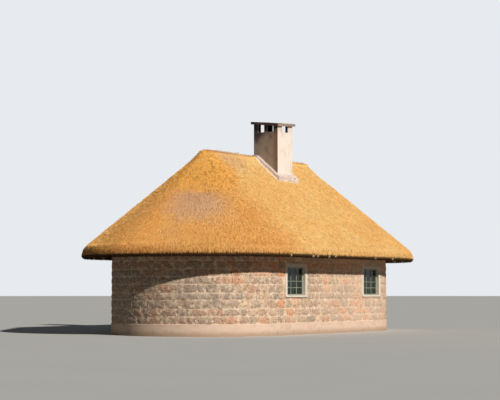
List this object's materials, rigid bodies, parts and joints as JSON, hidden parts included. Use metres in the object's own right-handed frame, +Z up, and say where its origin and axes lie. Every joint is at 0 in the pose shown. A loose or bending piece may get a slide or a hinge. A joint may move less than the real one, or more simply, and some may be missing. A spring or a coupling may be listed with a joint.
{
  "type": "thatched stone rondavel hut with an oblong, round-ended plan",
  "caption": "Thatched hut of dressed fieldstone with round ends, a straight front with steel windows, a plastered plinth and a plastered chimney.",
  "frame": {"origin": "on level ground at the middle of the plan", "axes": "+X along the ridge, -Y the front with the two windows in view, +Z up"},
  "size_m": [15.7784, 8.9892, 8.2123],
  "materials": {
    "fieldstone": "rough",
    "plaster": "matt",
    "thatch": "rough",
    "poles": "matt",
    "cement": "matt",
    "slab": "rough",
    "painted_steel": "satin",
    "glass": "gloss",
    "door_wood": "satin",
    "floor": "matt"
  },
  "bodies": {
    "root": {"floor_base": "floor", "door_steps": "fieldstone", "plinth_front": "plaster", "wall_plate_front": "poles", "rafters_front": "poles", "thatch_front": "thatch", "plinth_back": "plaster", "wall_plate_back": "poles", "rafters_back": "poles", "thatch_back": "thatch", "plinth_left_end": "plaster", "wall_plate_left_end": "poles", "rafters_left_end": "poles", "thatch_left_end": "thatch", "plinth_right_end": "plaster", "wall_plate_right_end": "poles", "rafters_right_end": "poles", "thatch_right_end": "thatch", "wall_front": "fieldstone", "wall_back_left": "fieldstone", "wall_back_right": "fieldstone", "wall_over_door": "fieldstone", "wall_left_end_1": "fieldstone", "wall_left_end_2": "fieldstone", "wall_left_end_3": "fieldstone", "wall_right_end_1": "fieldstone", "wall_right_end_2": "fieldstone", "wall_right_end_3": "fieldstone", "window_surrounds_front": "plaster", "window_sills_front": "plaster", "window_frames_front": "painted_steel", "window_glass_front": "glass", "window_surrounds_back": "plaster", "window_sills_back": "plaster", "window_frames_back": "painted_steel", "window_glass_back": "glass", "door_surround": "plaster", "door_frame": "door_wood", "door_leaf": "door_wood", "ridge_pole": "poles", "apex_bosses": "poles", "thatch_ridge": "thatch", "chimney_stack": "plaster", "chimney_cap": "slab", "chimney_flaunching": "cement"}
  },
  "joints": []
}
